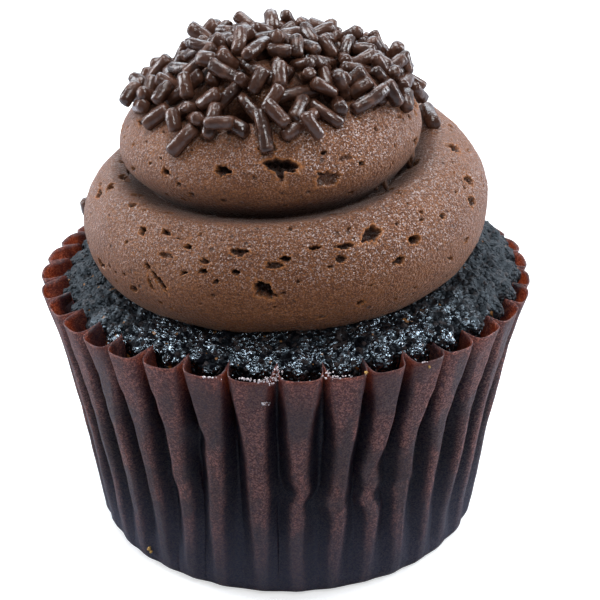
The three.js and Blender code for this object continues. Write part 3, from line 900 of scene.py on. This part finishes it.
def cell_at(x, y):
    column = int(clamp(math.floor((x + SPAN) / CELL), 0, ACROSS - 1))
    row = int(clamp(math.floor((y + SPAN) / CELL), 0, ACROSS - 1))
    return row, column


def draws(seed):
    """Random draws from 0 to 1, the same each time."""
    state = seed
    while True:
        state = (state * 1664525 + 1013904223) % 2**32
        yield state / 2**32


def resting_line(surface, x, y, heading, half):
    """The line on which a rod comes to rest, on one support each side of its middle."""
    supports = []
    c, d = math.cos(heading), math.sin(heading)
    for share in (-1, -0.75, -0.5, -0.25, 0, 0.25, 0.5, 0.75, 1):
        s = share * (half + TIP * SPRINKLE_RADIUS)
        across = [surface[cell_at(x + s * c - w * d, y + s * d + w * c)] for w in (-0.45, 0, 0.45)]
        supports.append((s, max(across)))
    best = (-math.inf, 0)
    for s0, h0 in supports[:5]:
        for s1, h1 in supports[5:]:
            slope = (h1 - h0) / (s1 - s0)
            if h0 - slope * s0 > best[0]:
                best = (h0 - slope * s0, slope)
    return best


def heap_normal(x, y):
    step = 1.1
    slope_x = (heap[cell_at(x + step, y)] - heap[cell_at(x - step, y)]) / (2 * step)
    slope_y = (heap[cell_at(x, y + step)] - heap[cell_at(x, y - step)]) / (2 * step)
    slopes = [clamp(slope, -STEEPEST, STEEPEST) for slope in (slope_x, slope_y)]
    return Vector((-slopes[0], -slopes[1], 1)).normalized()


def raise_heap(middle, along, heading, half):
    reach = half + TIP * SPRINKLE_RADIUS
    s = -reach
    while s <= reach:
        spot = middle + along * s
        w = -SPRINKLE_RADIUS
        while w <= SPRINKLE_RADIUS:
            cell = cell_at(spot.x - w * math.sin(heading), spot.y + w * math.cos(heading))
            heap[cell] = max(heap[cell], spot.z + math.sqrt(max(0, SPRINKLE_RADIUS**2 - w * w)))
            w += CELL / 2
        s += CELL / 2


def drop_sprinkle(draw, i):
    """Rod i is dropped at point i of an even spread over the disc, nudged by a random draw."""
    around = TURN * ((0.5 + i * 0.56984) % 1) + (next(draw) - 0.5) * 0.3
    ragged = 1 + 0.05 * math.sin(3 * around + 1) + 0.05 * math.sin(8 * around)
    radius = SCATTER_RADIUS * ragged * math.sqrt((0.5 + i * 0.754878) % 1) + next(draw) - 0.5
    x = SCATTER_X + radius * math.cos(around)
    y = SCATTER_Y + radius * math.sin(around)
    heading = next(draw) * TURN
    lean = 0.5 + 0.4 * next(draw)
    cut = next(draw)
    last = i >= LAST_FROM
    at_least = mix(*(LAST_AT_LEAST if last else FIRST_AT_LEAST), cut)
    length = max(at_least, LONGEST - SHORTENING * i - cut)
    half = length / 2 - SPRINKLE_RADIUS
    height, slope = resting_line(heap, x, y, heading, half)
    lowest = resting_line(cream_below, x, y, heading, half)[0]
    bare = heap[cell_at(x, y)] - cream_below[cell_at(x, y)] < 0.3
    if height - lowest > (LAST_HEAPED if last else MOST_HEAPED) or (last and not bare):
        return None
    standing = i % STANDING_EVERY == 5 and radius < 0.8 * SCATTER_RADIUS
    pitch = lean if standing else math.atan(clamp(slope, -2, 2))
    level = Vector((math.cos(heading), math.sin(heading), 0))
    along = level * math.cos(pitch) + Vector((0, 0, math.sin(pitch)))
    lift = heap_normal(x, y) * SPRINKLE_RADIUS * (1 - SINK)
    raised = 0.5 * half * math.sin(lean) - 0.4 if standing else 0
    middle = Vector((x + lift.x, y + lift.y, height + lift.z + raised))
    raise_heap(middle, along, heading, half)
    return middle, along, half


def stray_sprinkle():
    """One rod has rolled down on to the side of the first coil."""
    centre, out, half = rope(STRAY_TURN)
    along = Vector((-out.y * math.cos(STRAY_PITCH), out.x * math.cos(STRAY_PITCH), math.sin(STRAY_PITCH)))
    return centre + out * half, along, SHORTEST / 2 - SPRINKLE_RADIUS


def rod_shape():
    """A rod along +Z with rounded ends. Its ends are moved apart to give each its length."""
    rod = bmesh.new()
    radii = {"radius1": SPRINKLE_RADIUS, "radius2": SPRINKLE_RADIUS}
    bmesh.ops.create_cone(rod, cap_ends=True, segments=8, depth=ROD_LENGTH, **radii)
    rims = [e for e in rod.edges if rise_of(e) < 0.1]
    sides = [e for e in rod.edges if rise_of(e) > 0.1]
    bmesh.ops.subdivide_edges(rod, edges=sides, cuts=1)
    rounded = {"affect": "EDGES", "segments": 2, "profile": 0.5, "material": -1}
    bmesh.ops.bevel(rod, geom=rims, offset=ROD_BEVEL, **rounded)
    mesh = bpy.data.meshes.new("rod")
    rod.to_mesh(mesh)
    rod.free()
    return mesh


def poured_sprinkles():
    """Every rod where it came to rest, each a little bent, dented, and thick or thin."""
    rod = rod_shape()
    poured = bmesh.new()
    tone = poured.verts.layers.float.new("tone")
    draw = draws(SEED)
    dropped = [drop_sprinkle(draw, i) for i in range(SPRINKLES)]
    rods = [stray_sprinkle()] + [rod for rod in dropped if rod]
    chance = np.random.default_rng(ROD_SEED)
    for n, (middle, along, half) in enumerate(rods):
        before = len(poured.verts)
        poured.from_mesh(rod)
        poured.verts.ensure_lookup_table()
        thick, flat, bend, skew, shade, roll = chance.random(6)
        turned = Vector((0, 0, 1)).rotation_difference(along).to_matrix()
        turned @= Matrix.Rotation(roll * TURN, 3, "Z")
        stretch = half + SPRINKLE_RADIUS - ROD_LENGTH / 2
        for v in poured.verts[before:]:
            end = 0 if abs(v.co.z) < 0.1 else math.copysign(1, v.co.z)
            co = v.co + Vector((0, 0, end * stretch))
            co.z += SKEW * (skew - 0.5) * co.x * (end - 0.3 * (end < 0))
            co.x *= mix(THINNEST, THICKEST, thick) * mix(0.94, 1.0, flat)
            co.y *= mix(THINNEST, THICKEST, thick) * mix(1.04, 1.0, flat)
            share = co.z / (half + SPRINKLE_RADIUS)
            co.y += BEND * (bend - 0.5) * (1 - share * share)
            dent = 1 + DENT * noise.noise((co.x * 0.9 + n * 3.1, co.y * 0.9, co.z * 0.7))
            v.co = turned @ Vector((co.x * dent, co.y * dent, co.z)) + middle
            v[tone] = shade
    bpy.data.meshes.remove(rod)
    bmesh.ops.recalc_face_normals(poured, faces=poured.faces)
    return poured


def sprinkle_material():
    """Dark chocolate with a thin glaze, a little uneven, so that its highlights break up."""
    material, tree, shader, spot = material_named("glazed chocolate rods")
    tone = attribute(tree, "tone")
    cloud = place(tree, "TexNoise", {"Vector": spot, "Scale": 700.0, "Detail": 3.0}).outputs[0]
    base = blend(tree, tone, DARK_ROD, PALE_ROD)
    colour = blend(tree, ranged(tree, cloud, 0.45, 0.7), base, BLOOM)
    dust = grain(tree, spot, 0.35)
    normal = bumped(tree, dust, 0.08, 0.6, bumped(tree, cloud, 0.28, 0.8))
    feed(tree, shader, {"Base Color": colour, "Normal": normal, "Specular IOR Level": 0.50})
    feed(tree, shader, {"Roughness": ranged(tree, cloud, 0.35, 0.6, 0.11, 0.26)})
    return material


sprinkles = finished(poured_sprinkles(), "chocolate_sprinkles", sprinkle_material())
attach(sprinkles, "root")
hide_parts("frosting")


# ---- Dried foam ----
# Pale foam of the batter that dried to tiny white crystals, on the rim of the case in front.

GREY_FOAM = (0.33, 0.25, 0.25)
WHITE_FOAM = (0.74, 0.68, 0.69)

# Clusters of crystals: angle round the case and height, how far they spread, and how many.
FOAM = [
    (-91.5, 39.1, 0.5, 0.50, 24),
    (-93.2, 38.4, 0.9, 0.22, 20),
    (-95.4, 38.1, 0.9, 0.10, 14),
    (-98.3, 38.2, 1.2, 0.08, 22),
    (-92.6, 37.6, 0.5, 0.15, 6),
    (-81.3, 38.9, 0.5, 0.25, 16),
    (-79.6, 38.3, 0.7, 0.15, 14),
    (-77.0, 38.3, 0.9, 0.10, 8),
    (-94.6, 34.4, 0.5, 0.25, 14),
    (-106.0, 38.0, 1.3, 0.06, 9),
    (-60.0, 38.1, 0.8, 0.08, 5),
]


def foam_material():
    material, tree, shader, spot = material_named("dried white foam")
    draw = packed(tree, spot, 0.15)["First"]
    colour = blend(tree, draw, GREY_FOAM, WHITE_FOAM)
    feed(tree, shader, {"Base Color": colour, "Roughness": 0.4})
    return material


def crystals(clusters, smallest, largest, seed):
    """Small rough lumps, scattered about each cluster's middle on the outside of the case."""
    made = bmesh.new()
    chance = np.random.default_rng(seed)
    for degrees, height, spread, rise, count in clusters:
        for _ in range(count):
            angle = math.radians(degrees + spread * chance.normal())
            z = height + rise * chance.normal()
            r = crown_radius(min(z, CASE_HEIGHT)) + 0.05
            size = mix(smallest, largest, chance.random() ** 2)
            lump = bmesh.ops.create_icosphere(made, subdivisions=1, radius=size)["verts"]
            for v in lump:
                v.co *= mix(0.6, 1.5, chance.random())
            bmesh.ops.translate(made, verts=lump, vec=(r * math.cos(angle), r * math.sin(angle), z))
    return made


dried_foam = finished(crystals(FOAM, 0.05, 0.16, 5), "dried_foam", foam_material())
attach(dried_foam, "root")


# ---- Loose crumbs ----
# A few golden crumbs that fell on the case.

GOLDEN = (0.42, 0.24, 0.06, 1)
CRUMBS = [(-134.2, 3.2, 0.2, 0.15, 4), (-72.5, 38.4, 0.3, 0.1, 2), (-58, 37.2, 0.2, 0.1, 1)]


def crumb_material():
    material, tree, shader, _ = material_named("golden crumb")
    feed(tree, shader, {"Base Color": GOLDEN, "Roughness": 0.7})
    return material


loose_crumbs = finished(crystals(CRUMBS, 0.18, 0.30, 3), "loose_crumbs", crumb_material())
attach(loose_crumbs, "root")


# ---- Studio ----
# A pale floor, a soft light above, behind and in front, and a strip of light at each side.

FLOOR_HALF_WIDTH = 3000
FLOOR_BELOW = 0.05

floor_shape = bmesh.new()
bmesh.ops.create_grid(floor_shape, x_segments=1, y_segments=1, size=FLOOR_HALF_WIDTH)
bmesh.ops.translate(floor_shape, verts=floor_shape.verts, vec=(0, 0, -FLOOR_BELOW))
floor_material, floor_tree, floor_shader, _ = material_named("pale floor")
floor_seen = place(floor_tree, "LightPath").outputs["Is Camera Ray"]
floor_colour = blend(floor_tree, floor_seen, (0.40, 0.40, 0.44), (0.62, 0.62, 0.63))
floor_glow = times(floor_tree, floor_seen, 0.6)
feed(floor_tree, floor_shader, {"Base Color": floor_colour, "Roughness": 0.7})
feed(floor_tree, floor_shader, {"Emission Color": (1, 1, 1, 1), "Emission Strength": floor_glow})
floor = finished(floor_shape, "floor", floor_material)


def soft_light(name, where, at, width, height, power, colour):
    """A soft box at a place, turned towards a point, both in metres."""
    light = bpy.data.lights.new(name, "AREA")
    light.shape = "RECTANGLE"
    light.size, light.size_y = width, height
    light.energy = power
    light.color = colour
    lamp = bpy.data.objects.new(name, light)
    lamp.location = where
    lamp.visible_camera = False
    lamp.rotation_euler = (Vector(at) - Vector(where)).to_track_quat("-Z", "Y").to_euler()
    bpy.context.scene.collection.objects.link(lamp)


soft_light("top_soft_box", (-0.05, 0.07, 0.70), (0, 0, 0.04), 0.36, 0.32, 3.7, (0.95, 0.97, 1.0))
soft_light("back_soft_box", (0.0, 0.90, 0.55), (0, 0, 0.04), 1.10, 0.40, 5.5, (0.82, 0.91, 1.0))
soft_light("front_soft_box", (0.15, -0.55, 0.70), (0, 0, 0.05), 0.26, 0.22, 3.0, (0.95, 0.97, 1.0))
soft_light("left_strip", (-0.66, 0.16, 0.30), (0, 0, 0.04), 0.25, 0.60, 5.4, (0.90, 0.94, 1.0))
soft_light("right_strip", (0.66, 0.16, 0.30), (0, 0, 0.04), 0.25, 0.60, 5.4, (0.90, 0.94, 1.0))

world = bpy.data.worlds.new("studio")
world.use_nodes = True
bpy.context.scene.world = world
world.node_tree.nodes.clear()
seen = place(world.node_tree, "LightPath").outputs["Is Camera Ray"]
around = place(world.node_tree, "TexCoord").outputs["Generated"]
facing = place(world.node_tree, "SeparateXYZ", {0: around}).outputs["Y"]
behind = ranged(world.node_tree, facing, -0.7, 0.7, 0.22, 0.72)
glow = times(world.node_tree, behind, seen, "MAXIMUM")
hue = blend(world.node_tree, seen, (0.84, 0.92, 1.0), (1.0, 1.0, 1.0))
sky = place(world.node_tree, "Background", {"Color": hue, "Strength": glow})
place(world.node_tree, "OutputWorld", {"Surface": sky.outputs[0]})
bpy.context.scene.view_settings.view_transform = "Standard"

ELEVATION = math.radians(25.45)
DISTANCE = 0.250
FOCAL_LENGTH = 103.04
SENSOR_WIDTH = 36
AIM = Vector((0.00195, 0, 0.0327))
ROLL = math.radians(-0.38)
lens = bpy.data.cameras.new("camera")
lens.lens = FOCAL_LENGTH
lens.sensor_width = SENSOR_WIDTH
lens.clip_start = 0.01
lens.clip_end = 20
camera = bpy.data.objects.new("camera", lens)
camera.location = AIM + DISTANCE * Vector((0, -math.cos(ELEVATION), math.sin(ELEVATION)))
tilt = Matrix.Rotation(math.pi / 2 - ELEVATION, 3, "X") @ Matrix.Rotation(ROLL, 3, "Z")
camera.rotation_euler = tilt.to_euler()
bpy.context.scene.collection.objects.link(camera)
bpy.context.scene.camera = camera
